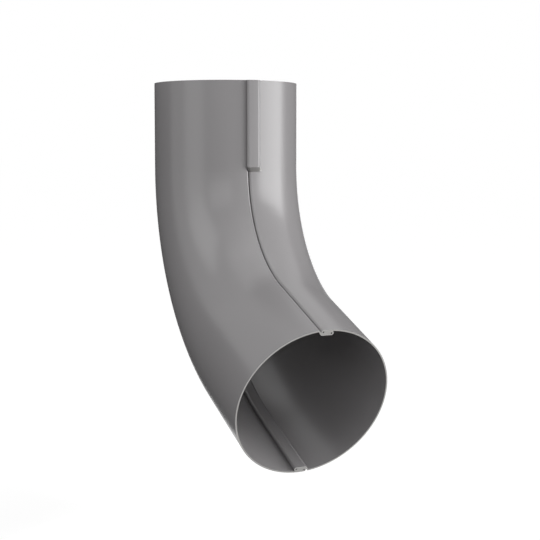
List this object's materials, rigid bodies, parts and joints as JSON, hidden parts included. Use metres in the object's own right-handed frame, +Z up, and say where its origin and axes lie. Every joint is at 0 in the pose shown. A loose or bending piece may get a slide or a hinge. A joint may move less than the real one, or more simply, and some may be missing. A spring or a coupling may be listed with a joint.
{
  "type": "downpipe elbow",
  "caption": "Round downpipe elbow of painted sheet metal with short straight ends, hook-seamed along the inside and the outside of its bend.",
  "frame": {"origin": "centre of the inlet's rim", "axes": "+Z up along the inlet's axis, against the flow; +X the way the outlet leads away; the bend lies in the XZ plane"},
  "size_m": [0.1802, 0.087, 0.2113],
  "materials": {
    "painted_sheet": "semi-gloss grey coil coating on galvanised steel, with bare cut edges at the two rims"
  },
  "bodies": {
    "root": {"left_half_shell": "painted_sheet", "right_half_shell": "painted_sheet"}
  },
  "joints": []
}
